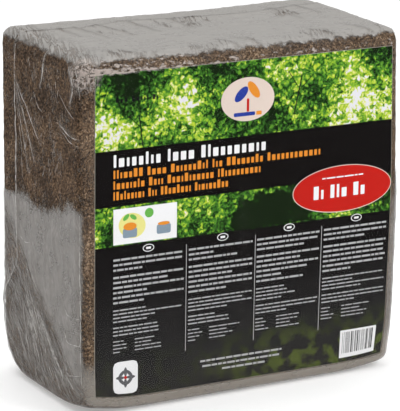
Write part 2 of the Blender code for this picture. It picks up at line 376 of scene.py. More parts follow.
class Bench:
    """The few modelling steps that every piece is made with."""

    @staticmethod
    def clear() -> None:
        """Leaves edit mode and selects nothing, so that the next step acts on the new piece alone."""
        if bpy.context.object and bpy.context.object.mode != "OBJECT":
            bpy.ops.object.mode_set(mode="OBJECT")
        bpy.ops.object.select_all(action="DESELECT")

    @staticmethod
    def only(piece: Piece) -> None:
        """Selects this piece alone and makes it the active one."""
        Bench.clear()
        piece.select_set(True)
        bpy.context.view_layer.objects.active = piece

    @staticmethod
    def box(name: str, cuts: int) -> Piece:
        """Adds the block's plain box, cut into even rows.

        Args:
            name: The new piece's name.
            cuts: The number of cuts along each edge.

        Returns:
            The new piece, left in edit mode with all of it selected.
        """
        Bench.clear()
        bpy.ops.mesh.primitive_cube_add(size=1.0)
        piece = bpy.context.object
        piece.name = name
        bpy.ops.object.mode_set(mode="EDIT")
        bpy.ops.transform.resize(value=tuple(2 * FORM.half))
        bpy.ops.mesh.subdivide(number_cuts=cuts)
        return piece

    @staticmethod
    def pick_faces(piece: Piece, wanted: Callable[[bpy.types.MeshPolygon], bool]) -> None:
        """Selects the faces that pass a test, and nothing else of the mesh.

        Args:
            piece: The piece, out of edit mode.
            wanted: The test.
        """
        for part in (*piece.data.vertices, *piece.data.edges):
            part.select = False
        for polygon in piece.data.polygons:
            polygon.select = wanted(polygon)

    @staticmethod
    def places(piece: Piece) -> np.ndarray:
        """Reads a mesh's points, one in each row."""
        flat = np.empty(len(piece.data.vertices) * 3)
        piece.data.vertices.foreach_get("co", flat)
        return flat.reshape(-1, 3)

    @staticmethod
    def move(piece: Piece, places: np.ndarray) -> None:
        """Puts a mesh's points at these places."""
        piece.data.vertices.foreach_set("co", places.ravel())
        piece.data.update()

    @staticmethod
    def apply(piece: Piece, kind: str, **settings: object) -> None:
        """Adds a modifier with these settings and applies it.

        Args:
            piece: The piece to change.
            kind: The modifier's type.
            settings: Its values, by name.
        """
        Bench.only(piece)
        modifier = piece.modifiers.new(kind.lower(), kind)
        for name, value in settings.items():
            setattr(modifier, name, value)
        bpy.ops.object.modifier_apply(modifier=modifier.name)

    @staticmethod
    def smooth(piece: Piece) -> None:
        """Shades a piece smooth, apart from its sharp edges."""
        Bench.only(piece)
        bpy.ops.object.shade_smooth_by_angle(angle=SMOOTH_ANGLE)

    @staticmethod
    def hand_over(piece: Piece, slot: str, replaces: str | None = None) -> None:
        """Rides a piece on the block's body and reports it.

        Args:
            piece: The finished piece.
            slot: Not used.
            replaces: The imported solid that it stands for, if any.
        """
        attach(piece, BODY)
        if replaces:
            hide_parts(replaces)
        LOG.info("%s: %d faces", piece.name, len(piece.data.polygons))


class Net:
    """Adds and wires the nodes of a material or a group."""

    def __init__(self, tree: bpy.types.NodeTree) -> None:
        """Keeps the tree that nodes are added to."""
        self.tree = tree

    def add(self, kind: str, inputs: dict | None = None, **settings: object) -> bpy.types.Node:
        """Adds one node.

        Args:
            kind: The node's type, without its ShaderNode start.
            inputs: Values or sockets for its inputs, by name or index.
            settings: The node's own settings.

        Returns:
            The new node.
        """
        node = self.tree.nodes.new("ShaderNode" + kind)
        for name, value in settings.items():
            setattr(node, name, value)
        for name, value in (inputs or {}).items():
            self.feed(node.inputs[name], value)
        return node

    def feed(self, socket: Socket, value: object) -> None:
        """Wires a socket into another, or sets it.

        Args:
            socket: The input.
            value: A socket, a number, a colour or a vector.
        """
        if isinstance(value, Socket):
            self.tree.links.new(value, socket)
        elif isinstance(value, tuple) and len(value) == 3 and socket.type == "RGBA":
            socket.default_value = (*value, 1.0)
        else:
            socket.default_value = value

    def split(self, vector: object) -> list[Socket]:
        """The three parts of a vector."""
        return list(self.add("SeparateXYZ", {0: vector}).outputs)

    def math(self, operation: str, a: object, b: object = 0.0) -> Socket:
        """The result of one step of arithmetic on two values."""
        return self.add("Math", {0: a, 1: b}, operation=operation).outputs[0]

    def plus(self, a: object, b: object) -> Socket:
        """The sum of two values."""
        return self.math("ADD", a, b)

    def minus(self, a: object, b: object) -> Socket:
        """One value less another."""
        return self.math("SUBTRACT", a, b)

    def most(self, a: object, b: object) -> Socket:
        """The larger of two values."""
        return self.math("MAXIMUM", a, b)

    def product(self, *values: object) -> Socket:
        """All the values multiplied.

        Args:
            values: Numbers or sockets.

        Returns:
            The product.
        """
        result = values[0]
        for value in values[1:]:
            result = self.math("MULTIPLY", result, value)
        return result

    def band(
        self, value: object, low: object, high: object, start: float = 0.0, end: float = 1.0
    ) -> Socket:
        """A smooth change from start at low to end at high."""
        inputs = {"Value": value, "From Min": low, "From Max": high, "To Min": start, "To Max": end}
        return self.add("MapRange", inputs, interpolation_type="SMOOTHSTEP").outputs[0]

    def window(self, value: object, low: float, high: float, soft: float) -> Socket:
        """1 between low and high, and 0 outside them.

        Args:
            value: What is measured.
            low: The lower end.
            high: The upper end.
            soft: Half the width of the change at each end.

        Returns:
            The mask.
        """
        above = self.band(value, low - soft, low + soft)
        below = self.band(value, high + soft, high - soft)
        return self.product(above, below)

    def blend(self, share: object, a: object, b: object) -> Socket:
        """A value from a to b.

        Args:
            share: 0 for a and 1 for b.
            a: The first value.
            b: The second value.

        Returns:
            The value.
        """
        node = self.add("Mix", {"Factor": share}, data_type="FLOAT")
        self.feed(node.inputs["A"], a)
        self.feed(node.inputs["B"], b)
        return node.outputs["Result"]

    def tint(self, share: object, a: object, b: object) -> Socket:
        """A colour from a to b.

        Args:
            share: 0 for a and 1 for b.
            a: The first colour.
            b: The second colour.

        Returns:
            The colour.
        """
        node = self.add("Mix", {0: share}, data_type="RGBA")
        self.feed(node.inputs[6], a)
        self.feed(node.inputs[7], b)
        return node.outputs[2]

    def noise(
        self, vector: object, grain: float, detail: float = 2.0, rough: float = 0.5, bend: float = 0.0
    ) -> Socket:
        """A soft noise with lumps of about this size, from 0 to 1.

        Args:
            vector: The coordinates.
            grain: The size of its lumps.
            detail: How many finer layers it has.
            rough: How strong they are.
            bend: How much it is bent.

        Returns:
            The noise.
        """
        inputs = {"Vector": vector, "Scale": 1 / grain, "Detail": detail}
        inputs |= {"Roughness": rough, "Distortion": bend}
        return self.add("TexNoise", inputs).outputs[0]

    def cells(self, vector: object, grain: float) -> bpy.types.Node:
        """A cell pattern with cells of about this size."""
        return self.add("TexVoronoi", {"Vector": vector, "Scale": 1 / grain})

    def ramp(self, value: object, stops: list[tuple[float, Colour]]) -> Socket:
        """A colour from a list of places and colours.

        Args:
            value: The place to read.
            stops: The places and their colours.

        Returns:
            The colour.
        """
        node = self.add("ValToRGB", {"Fac": value})
        ramp = node.color_ramp
        while len(ramp.elements) < len(stops):
            ramp.elements.new(0.5)
        for element, (place, colour) in zip(ramp.elements, stops):
            element.position = place
            element.color = (*colour, 1.0)
        return node.outputs[0]

    def stretched(self, vector: object, turn: Triple, scale: Triple) -> Socket:
        """The coordinates turned and then scaled, for patterns that run along one way."""
        turned = self.add("Mapping", {"Vector": vector, "Rotation": turn})
        return self.add("Mapping", {"Vector": turned.outputs[0], "Scale": scale}).outputs[0]

    def streaks(self, vector: object, turn: Triple, length: Triple, thin: float) -> Socket:
        """Thin lines along one way: 1 on a line, 0 off it.

        Args:
            vector: The coordinates.
            turn: Turns the lines.
            length: The grain of the noise along each turned axis.
            thin: How far a line reaches from the middle value of the noise.

        Returns:
            The lines.
        """
        place = self.stretched(vector, turn, tuple(1 / size for size in length))
        value = self.noise(place, 1.0, 3.0, 0.55, 0.4)
        off = self.math("ABSOLUTE", self.math("SUBTRACT", value, 0.5))
        return self.band(off, thin, 0.0)


def new_group(
    name: str, inputs: dict[str, str], outputs: dict[str, str]
) -> tuple[bpy.types.NodeTree, Net, bpy.types.Node, bpy.types.Node]:
    """Starts a shader node group.

    Args:
        name: The group's name.
        inputs: The socket kind of each input, by name.
        outputs: The same for the outputs.

    Returns:
        The group, its net, and its input and output nodes.
    """
    tree = bpy.data.node_groups.new(name, "ShaderNodeTree")
    for label, kind in inputs.items():
        tree.interface.new_socket(label, in_out="INPUT", socket_type="NodeSocket" + kind)
    for label, kind in outputs.items():
        tree.interface.new_socket(label, in_out="OUTPUT", socket_type="NodeSocket" + kind)
    entry, leave = tree.nodes.new("NodeGroupInput"), tree.nodes.new("NodeGroupOutput")
    return tree, Net(tree), entry, leave


@dataclass(frozen=True)
class Finish:
    """What every material has: a name, a Principled shader and a net."""

    name: str

    def start(self) -> tuple[bpy.types.Material, Net, bpy.types.Node, Socket]:
        """Makes an empty material.

        Returns:
            The material, its net, its Principled shader and its Object coordinates.
        """
        made = bpy.data.materials.new(self.name)
        made.use_nodes = True
        net = Net(made.node_tree)
        shader = made.node_tree.nodes["Principled BSDF"]
        place = net.add("TexCoord").outputs["Object"]
        return made, net, shader, place


@dataclass(frozen=True)
class CoirFinish(Finish):
    """Pressed coir: tan fibres over dark crumbs."""

    name: str = "pressed_coir"
    crumb: float = 0.0017
    fibre: float = 0.0009

    def make(self) -> bpy.types.Material:
        """Builds the material."""
        made, net, shader, place = self.start()
        lumps = net.noise(place, 0.030, 3.0)
        crumbs = net.noise(place, self.crumb, 4.0, 0.65, 0.5)
        upright = net.stretched(place, (0.5, 0.3, 0.2), (1.0, 1.0, 0.25))
        across = net.stretched(place, (0.2, 0.9, 0.7), (0.25, 1.0, 1.0))
        standing = net.noise(upright, self.fibre, 3.0, 0.6, 1.2)
        fibres = net.most(standing, net.noise(across, self.fibre, 3.0, 0.6, 1.2))
        tone = net.plus(net.product(crumbs, 0.55), net.product(fibres, 0.45))
        tone = net.plus(tone, net.product(net.minus(lumps, 0.5), 0.16))
        x, _, _ = net.split(place)
        # Painted shade: the coir is made darker on the left face, which lies away from the lights.
        painted_left_shade = net.band(net.product(x, -1.0), 0.1430, 0.1490, 0.0, 0.028)
        tone = net.minus(tone, painted_left_shade)
        colours = [
            (0.40, (0.009, 0.006, 0.004)),
            (0.46, (0.040, 0.025, 0.015)),
            (0.51, (0.090, 0.056, 0.033)),
            (0.57, (0.190, 0.118, 0.066)),
            (0.64, (0.480, 0.350, 0.240)),
        ]
        net.feed(shader.inputs["Base Color"], net.ramp(tone, colours))
        bump = net.add("Bump", {"Height": tone, "Strength": 0.9, "Distance": 0.0012})
        net.feed(shader.inputs["Normal"], bump.outputs[0])
        shader.inputs["Roughness"].default_value = 0.92
        shader.inputs["Specular IOR Level"].default_value = 0.15
        return made


def leafy_group() -> bpy.types.NodeTree:
    """Builds the group that paints sunlit leaves.

    Returns:
        A group from flat coordinates and a light value to a colour.
    """
    inputs = {"Place": "Vector", "Light": "Float"}
    tree, net, entry, leave = new_group("leafy_print", inputs, {"Color": "Color"})
    place, light = entry.outputs["Place"], entry.outputs["Light"]
    wave = net.add("TexNoise", {"Vector": place, "Scale": 1 / 0.010})
    bent = net.add("VectorMath", {0: wave.outputs[1], "Scale": 0.006}, operation="SCALE")
    place = net.add("VectorMath", {0: place, 1: bent.outputs[0]}).outputs[0]
    large, small = net.cells(place, 0.0038), net.cells(place, 0.0017)
    pick = net.add("SeparateColor", {0: large.outputs["Color"]})
    fine = net.add("SeparateColor", {0: small.outputs["Color"]})
    clump = net.noise(place, 0.030, 4.0, 0.62)
    tone = net.plus(light, net.product(net.minus(pick.outputs[0], 0.5), 0.36))
    tone = net.plus(tone, net.product(net.minus(fine.outputs[1], 0.5), 0.34))
    tone = net.plus(tone, net.product(net.minus(clump, 0.5), 0.95))
    edge = net.band(large.outputs["Distance"], 0.30, 0.75, 0.0, 0.16)
    tone = net.minus(tone, edge)
    colours = [
        (0.12, (0.006, 0.014, 0.004)),
        (0.30, (0.018, 0.070, 0.010)),
        (0.45, (0.062, 0.215, 0.022)),
        (0.58, (0.185, 0.400, 0.032)),
        (0.71, (0.480, 0.600, 0.035)),
        (0.82, (0.740, 0.760, 0.280)),
        (0.90, (0.740, 0.730, 0.780)),
    ]
    net.feed(leave.inputs["Color"], net.ramp(tone, colours))
    return tree


@dataclass(frozen=True)
class PrintFinish(Finish):
    """The sheet's print: leaves, a black band, and a dark panel below."""

    name: str = "label_print"
    band_top: float = 0.0737
    band_bottom: float = 0.0268
    panel_top: float = -0.0064
    margin: float = 0.0003
    soft: float = 0.0003
    black: Colour = (0.0045, 0.0035, 0.0035)
    paper: Colour = (0.36, 0.34, 0.30)
    leaf_dark: Colour = (0.012, 0.018, 0.007)
    leaf_light: Colour = (0.140, 0.185, 0.030)
    panel_dark: Colour = (0.0060, 0.0050, 0.0052)
    panel_light: Colour = (0.0150, 0.0145, 0.0150)
    shrub_middle: Span = (0.022, -0.016)
    shrub_reach: float = 0.056
    glows: tuple[tuple[Span, float, float], ...] = (
        ((-0.068, 0.103), 0.050, 0.42),
        ((0.098, 0.082), 0.070, 0.42),
        ((0.030, 0.122), 0.038, 0.30),
        ((-0.120, 0.080), 0.036, 0.34),
        ((-0.100, 0.128), 0.050, -0.24),
        ((0.010, 0.092), 0.044, -0.16),
        ((0.133, 0.128), 0.034, -0.16),
    )

    def glow(self, net: Net, flat: list[Socket], at: Span, reach: float) -> Socket:
        """A round glow of light through the leaves.

        Args:
            net: The material's net.
            flat: Distances to the right of the sheet's middle and above it.
            at: The glow's middle.
            reach: Its radius.

        Returns:
            1 in the middle, and 0 from the radius on.
        """
        across, above = net.minus(flat[0], at[0]), net.minus(flat[1], at[1])
        square = net.plus(net.product(across, across), net.product(above, above))
        return net.band(net.math("SQRT", square), reach, 0.0)

    def leaves(self, net: Net, place: Socket, flat: list[Socket]) -> Socket:
        """Sunlit leaves, lighter and darker at set places, with a dark shrub above the panel.

        Args:
            net: The material's net.
            place: Coordinates on the sheet, from its middle.
            flat: The same, in parts.

        Returns:
            The colour.
        """
        light = net.plus(net.product(net.noise(place, 0.060, 2.0), 0.8), 0.04)
        for at, reach, share in self.glows:
            light = net.plus(light, net.product(self.glow(net, flat, at, reach), share))
        mound = self.glow(net, flat, self.shrub_middle, self.shrub_reach)
        shrub = net.band(net.plus(mound, net.product(net.noise(place, 0.010, 4.0), 0.9)), 0.60, 0.72)
        shrub = net.product(shrub, net.window(flat[1], self.panel_top, self.band_bottom, 0.002))
        light = net.minus(light, net.product(shrub, 0.50))
        return net.add("Group", {"Place": place, "Light": light}, node_tree=leafy_group()).outputs["Color"]

    def panel(self, net: Net, place: Socket, flat: list[Socket]) -> Socket:
        """The charcoal panel, with dim foliage low on its right.

        Args:
            net: The material's net.
            place: Coordinates on the sheet, from its middle.
            flat: The same, in parts.

        Returns:
            The colour.
        """
        clumps = net.band(net.noise(place, 0.012, 3.0), 0.44, 0.60)
        dim = net.product(net.band(flat[1], -0.085, -0.125), clumps, 0.90)
        dim = net.product(dim, net.band(flat[0], -0.06, 0.05, 0.12, 1.0))
        streak = net.stretched(place, (0, 0, -0.6), (3.0, 0.7, 1.0))
        foliage = net.tint(net.noise(streak, 0.006, 4.0), self.leaf_dark, self.leaf_light)
        charcoal = net.tint(net.band(flat[1], -0.02, -0.13), self.panel_dark, self.panel_light)
        return net.tint(dim, charcoal, foliage)

    def make(self) -> bpy.types.Material:
        """Builds the material on the sheet's own flat coordinates."""
        made, net, shader, _ = self.start()
        wide, tall = FORM.label_width, FORM.label_height
        sheet = net.add("Mapping", {"Vector": net.add("TexCoord").outputs["UV"]})
        sheet.inputs["Scale"].default_value = (wide, tall, 1.0)
        sheet.inputs["Location"].default_value = (-wide / 2, -tall / 2, 0.0)
        place = sheet.outputs[0]
        flat = net.split(place)
        right, up = flat[:2]
        band = net.window(up, self.band_bottom, self.band_top, self.soft)
        colour = net.tint(band, self.leaves(net, place, flat), self.black)
        below = net.band(up, self.panel_top + self.soft, self.panel_top - self.soft)
        colour = net.tint(below, colour, self.panel(net, place, flat))
        side = net.minus(wide / 2, net.math("ABSOLUTE", right))
        end = net.minus(tall / 2, net.math("ABSOLUTE", up))
        bare = net.band(net.math("MINIMUM", side, end), self.margin + 0.0001, self.margin - 0.0001)
        net.feed(shader.inputs["Base Color"], net.tint(bare, colour, self.paper))
        grain = net.noise(place, 0.0006, 2.0)
        net.feed(shader.inputs["Roughness"], net.band(grain, 0.2, 0.8, 0.42, 0.55))
        shader.inputs["Specular IOR Level"].default_value = 0.02
        return made


def worn_ink_group() -> bpy.types.NodeTree:
    """Builds the group that gives ink its fine specks.

    Returns:
        A group from coordinates, an ink colour and a paper colour to a colour and a roughness.
    """
    tree, net, entry, leave = new_group(
        "worn_ink",
        {"Place": "Vector", "Ink": "Color", "Worn": "Color"},
        {"Color": "Color", "Roughness": "Float"},
    )
    place = entry.outputs["Place"]
    specks = net.band(net.noise(place, 0.0007, 3.0, 0.6), 0.60, 0.74, 0.0, 0.35)
    cloud = net.band(net.noise(place, 0.020, 2.0), 0.3, 0.7, 0.0, 0.10)
    share = net.most(specks, cloud)
    net.feed(leave.inputs["Color"], net.tint(share, entry.outputs["Ink"], entry.outputs["Worn"]))
    net.feed(leave.inputs["Roughness"], net.band(cloud, 0.0, 0.10, 0.40, 0.52))
    return tree


@dataclass(frozen=True)
class InkFinish(Finish):
    """One printing ink."""

    ink: Colour = (0.8, 0.8, 0.8)
    worn: Colour = (0.5, 0.5, 0.5)

    def make(self) -> bpy.types.Material:
        """Builds the material."""
        made, net, shader, place = self.start()
        tree = bpy.data.node_groups.get("worn_ink") or worn_ink_group()
        group = net.add("Group", {"Place": place, "Ink": self.ink, "Worn": self.worn}, node_tree=tree)
        net.feed(shader.inputs["Base Color"], group.outputs["Color"])
        net.feed(shader.inputs["Roughness"], group.outputs["Roughness"])
        shader.inputs["Specular IOR Level"].default_value = 0.02
        return made


@dataclass(frozen=True)
class Spot:
    """What the film's patterns start from at each point: its place, its parts, and a soft noise."""

    place: Socket
    x: Socket
    y: Socket
    z: Socket
    front_y: Socket
    cloud: Socket
    uneven: Socket


@dataclass(frozen=True)
class FilmFinish(Finish):
    """Clear shrink film: glossy where it is tight, milky where it is gathered.

    A cover is the share of what lies below that the film hides.
    """

    name: str = "clear_film"
    top_edge: Span = (0.2945, 0.2985)
    front_edge: Span = (0.0740, 0.0772)
    back_edge: Span = (0.0740, 0.0775)
    end_edge: Span = (0.150, 0.143)
    gather_height: Span = (0.163, 0.178)
    pleat_level: float = 0.107
    pleat_slope: float = 0.884
    scratch_turn: float = math.radians(24)
    milky: float = 0.54
    roof_cover: float = 0.68
    back_cover: float = 0.16
    cover_limits: Span = (0.004, 0.95)
    flake_corner: Triple = (-0.1470, -0.0760, 0.2880)
    haze: Colour = (0.300, 0.280, 0.260)
    # The top's haze is lighter than the sides': partly milky film, and partly a painted reflection of the
    # overhead light.
    top_haze_and_reflection: Colour = (0.430, 0.412, 0.388)
    foot_haze: Colour = (0.440, 0.400, 0.350)
    flake: Colour = (0.74, 0.62, 0.55)

    def pleats(self, net: Net, spot: Spot) -> Socket:
        """Dark slanted pleats, low on the narrow sides.

        Args:
            net: The material's net.
            spot: What the patterns start from.

        Returns:
            1 on a pleat and 0 off it.
        """
        turn = (FOLDS.pleat_turn, 0.0, 0.0)
        line = net.plus(self.pleat_level, net.product(net.minus(spot.y, 0.0145), self.pleat_slope))
        below = net.band(net.minus(line, spot.z), -0.004, 0.010)
        coarse = net.streaks(spot.place, turn, (0.02, 0.0050, 0.060), 0.10)
        fine = net.streaks(spot.place, turn, (0.02, 0.0022, 0.030), 0.09)
        return net.product(below, net.most(net.product(coarse, 0.8), fine))

    def dents(self, net: Net, spot: Spot) -> Socket:
        """Dents of the top, between its short folds and on its left end.

        Args:
            net: The material's net.
            spot: What the patterns start from.

        Returns:
            1 in a dent and 0 beside it.
        """
        dent = net.streaks(spot.place, (0.0, 0.0, 0.35), (0.0040, 0.040, 0.02), 0.10)
        drawn = net.stretched(spot.place, (0.0, 0.0, 0.0), (1.0, 0.3, 1.0))
        groups = net.band(net.noise(drawn, 0.022, 2.0), 0.50, 0.58)
        behind = net.window(spot.y, 0.006, 0.046, 0.006)
        before = net.product(net.window(spot.y, -0.074, -0.052, 0.006), 0.8)
        corner = net.band(spot.x, -0.115, -0.140)
        return net.product(dent, net.most(net.product(groups, net.most(behind, before)), corner))

    def side(self, net: Net, spot: Spot, pleats: Socket, scratched: Socket) -> Socket:
        """Cover of the narrow sides, which are clear above and milky where the film is gathered.

        Args:
            net: The material's net.
            spot: What the patterns start from.
            pleats: Where the dark pleats are.
            scratched: Where the light scratches are.

        Returns:
            The cover.
        """
        level = net.band(spot.front_y, 0.020, 0.075, *self.gather_height)
        level = net.plus(level, net.product(spot.uneven, 0.030))
        low = net.band(net.minus(level, spot.z), -0.006, 0.007)
        cover = net.minus(net.blend(low, 0.0, self.milky), net.product(pleats, 0.46))
        cover = net.plus(cover, net.product(scratched, 0.22))
        return net.plus(cover, net.product(spot.uneven, net.blend(low, 0.16, 0.40)))

    def over_label(self, net: Net) -> Socket:
        """Finds the film that lies on the sheet, by its place on the plain box.

        Args:
            net: The material's net.

        Returns:
            1 on the sheet and 0 beside it.
        """
        wide, tall = FORM.label_width / 2, FORM.label_height / 2
        middle, lean = FORM.label_middle, math.tan(FORM.label_tilt)
        plain = net.split(net.add("Attribute", attribute_name="plain").outputs["Vector"])
        from_x = net.minus(plain[0], float(middle[0]))
        from_z = net.minus(plain[2], float(middle[2]))
        across = net.math("ABSOLUTE", net.minus(from_x, net.product(from_z, lean)))
        above = net.math("ABSOLUTE", net.plus(from_z, net.product(from_x, lean)))
        return net.product(
            net.band(across, wide + 0.0006, wide - 0.0002),
            net.band(above, tall + 0.0006, tall - 0.0002),
        )

    def face(self, net: Net, spot: Spot) -> Socket:
        """Cover of the front, milky low and on the right, and nearly clear over the sheet but for painted
        highlights down its middle.

        Args:
            net: The material's net.
            spot: What the patterns start from.

        Returns:
            The cover.
        """
        strip = net.band(spot.z, 0.050, 0.034, 0.03, 0.40)
        right = net.product(net.band(spot.x, 0.139, 0.142), net.band(spot.z, 0.175, 0.120, 0.02, 0.34))
        strip = net.most(strip, right)
        strip = net.most(strip, net.band(spot.z, 0.0135, 0.0105, 0.0, 0.46))
        strip = net.plus(strip, net.product(spot.uneven, 0.10))
        veil = net.product(net.band(spot.cloud, 0.55, 0.75), 0.004)
        veil = net.plus(net.band(spot.z, 0.150, 0.012, 0.004, 0.022), veil)
        # Painted highlights: light specks of milky film in a narrow upright strip down the middle of the
        # sheet.
        specks = net.product(
            net.window(spot.x, -0.004, 0.004, 0.002),
            net.window(spot.z, 0.060, 0.185, 0.010),
            net.band(net.noise(spot.place, 0.0014, 2.0, 0.7), 0.60, 0.68, 0.0, 0.30),
        )
        return net.blend(self.over_label(net), strip, net.most(veil, specks))

    def flakes(self, net: Net, spot: Spot) -> Socket:
        """Light flakes along the front's top edge, and crumpled film at its left corner.

        Args:
            net: The material's net.
            spot: What the patterns start from.

        Returns:
            The flakes' cover.
        """
        rim = net.product(net.window(spot.z, 0.2866, 0.2985, 0.0012), net.band(spot.front_y, 0.070, 0.076))
        flow = net.stretched(spot.place, (0.0, 0.0, 0.0), (0.45, 1.0, 1.0))
        sparse = net.band(spot.x, -0.150, 0.120, 0.44, 0.58)
        sparse = net.plus(sparse, net.band(spot.z, 0.2900, 0.2940, 0.0, 0.10))
        flakes = net.band(net.noise(flow, 0.0026, 4.0, 0.65), sparse, net.plus(sparse, 0.10))
        corner = net.add("VectorMath", {0: spot.place, 1: self.flake_corner}, operation="DISTANCE")
        crumple = net.band(net.noise(spot.place, 0.0040, 4.0, 0.7, 1.5), 0.42, 0.58)
        crumple = net.product(net.band(corner.outputs["Value"], 0.020, 0.006), crumple)
        return net.most(net.product(flakes, rim, 0.62), net.product(crumple, 0.72))

    def back(self, net: Net, spot: Spot, scratched: Socket) -> Socket:
        """Cover of the back, which is a little milky, and more so at its foot.

        Args:
            net: The material's net.
            spot: What the patterns start from.
            scratched: Where the light scratches are.

        Returns:
            The cover.
        """
        cover = net.plus(self.back_cover, net.product(spot.uneven, 0.5))
        cover = net.plus(cover, net.product(scratched, 0.24))
        foot = net.band(net.plus(spot.z, net.product(spot.uneven, 0.12)), 0.110, 0.020, 0.0, 0.28)
        return net.plus(cover, foot)

    def make(self) -> bpy.types.Material:
        """Builds the material."""
        made, net, shader, place = self.start()
        x, y, z = net.split(place)
        cloud = net.noise(place, 0.016, 4.0, 0.6)
        spot = Spot(place, x, y, z, net.product(y, -1.0), cloud, net.minus(cloud, 0.5))
        crease = net.add("Attribute", attribute_name="crease").outputs["Fac"]
        scratch = net.streaks(place, (self.scratch_turn, 0.0, 0.0), (0.02, 0.0026, 0.045), 0.045)
        scratched = net.product(scratch, net.band(net.noise(place, 0.012, 2.0), 0.50, 0.66))
        pleats, dents, flakes = self.pleats(net, spot), self.dents(net, spot), self.flakes(net, spot)

        wander = net.product(net.minus(net.noise(place, 0.009, 4.0, 0.65), 0.5), 0.012)
        top = net.band(net.plus(z, wander), *self.top_edge)
        edge = net.plus(spot.front_y, net.product(wander, 0.35))
        front = net.product(net.band(edge, *self.front_edge), net.minus(1.0, top))
        inner = net.band(net.math("ABSOLUTE", x), *self.end_edge)
        back = net.product(net.band(y, *self.back_edge), inner)
        sides_only = net.minus(1.0, net.most(top, front))

        roof = net.plus(self.roof_cover, net.product(spot.uneven, 0.10))
        roof = net.minus(roof, net.product(dents, 0.42))
        cover = net.blend(back, self.side(net, spot, pleats, scratched), self.back(net, spot, scratched))
        cover = net.blend(front, net.blend(top, cover, roof), self.face(net, spot))
        cover = net.plus(cover, net.product(crease, sides_only, 0.16))
        # Painted shade: along the creases of the top the film is made clearer, so the dark coir shows through
        # as shade in the folds.
        cover = net.minus(cover, net.product(crease, top, 0.45))
        cover = net.most(cover, flakes)
        least, greatest = self.cover_limits
        net.feed(shader.inputs["Alpha"], net.math("MINIMUM", net.most(cover, least), greatest))

        light_haze = tuple(1.15 * part for part in self.haze)
        tone = net.tint(net.band(cloud, 0.35, 0.65), self.haze, light_haze)
        tone = net.tint(net.product(front, net.band(z, 0.050, 0.014)), tone, self.foot_haze)
        # Painted reflection: the top gets the lighter haze colour, as if lit from above.
        tone = net.tint(top, tone, self.top_haze_and_reflection)
        net.feed(shader.inputs["Base Color"], net.tint(flakes, tone, self.flake))
        net.feed(shader.inputs["Roughness"], net.band(cloud, 0.3, 0.7, 0.22, 0.40))
        height = net.plus(net.product(pleats, -0.6), net.product(dents, -0.6))
        height = net.plus(height, net.product(scratch, 0.3))
        bump = net.add("Bump", {"Height": height, "Strength": 0.6, "Distance": 0.0010})
        net.feed(shader.inputs["Normal"], bump.outputs[0])
        return made


@dataclass(frozen=True)
class CreaseFinish(Finish):
    """Doubled film along a crease, which catches the light."""

    name: str = "film_crease"
    tone: Colour = (0.66, 0.64, 0.61)

    def make(self) -> bpy.types.Material:
        """Builds the material."""
        made, net, shader, place = self.start()
        broken = net.noise(place, 0.006, 3.0, 0.6)
        net.feed(shader.inputs["Alpha"], net.band(broken, 0.35, 0.60, 0.25, 0.90))
        net.feed(shader.inputs["Base Color"], net.tint(broken, self.tone, (0.80, 0.78, 0.75)))
        shader.inputs["Roughness"].default_value = 0.25
        return made


@dataclass
class PressedBlock:
    """The block of pressed coir."""

    cuts: int = 88
    pit_depth: float = 0.0004
    pit_length: float = 0.006
    crumb_length: float = 0.0028
    swell: float = 0.0005

    def build(self) -> Piece:
        """Makes the block with its pitted surface.

        Returns:
            The finished piece.
        """
        piece = Bench.box("pressed_block", self.cuts)
        Bench.clear()
        places = Bench.places(piece)
        pits = noise_at(places, (self.pit_length,) * 3, 3.0)
        pits += 0.6 * noise_at(places, (self.crumb_length,) * 3, 9.0)
        lift = self.swell + np.minimum(self.pit_depth * (pits - 0.9), 0.0)
        Bench.move(piece, FORM.on_block(places, lift))
        Bench.smooth(piece)
        piece.data.materials.append(CoirFinish().make())
        Bench.hand_over(piece, "pressed_coir", "coir_block")
        return piece


@dataclass
class PrintedSheet:
    """The printed sheet under the film."""

    pitch: float = 0.005

    def build(self) -> Piece:
        """Lays the sheet on the front of the block.

        Returns:
            The finished piece.
        """
        Bench.clear()
        bpy.ops.mesh.primitive_grid_add(
            x_subdivisions=round(FORM.label_width / self.pitch),
            y_subdivisions=round(FORM.label_height / self.pitch),
            size=1.0,
            calc_uvs=True,
        )
        piece = bpy.context.object
        piece.name = "printed_sheet"
        flat = Bench.places(piece)[:, :2] * np.array([FORM.label_width, FORM.label_height])
        Bench.move(piece, FORM.on_block(FORM.label_places(flat), FORM.label_lift))
        Bench.apply(piece, "SOLIDIFY", thickness=FORM.label_thickness, offset=1.0)
        Bench.smooth(piece)
        piece.data.materials.append(PrintFinish().make())
        Bench.hand_over(piece, "label_print", "front_label")
        return piece


@dataclass(frozen=True)
class Bar:
    """A flat bar of ink, in millimetres from the sheet's middle."""

    right: float
    up: float
    wide: float
    tall: float
    turn: float = 0.0


@dataclass(frozen=True)
class Disc:
    """A flat round or oval of ink, in millimetres from the sheet's middle."""

    right: float
    up: float
    wide: float
    tall: float
    turn: float = 0.0
    sides: int = 32


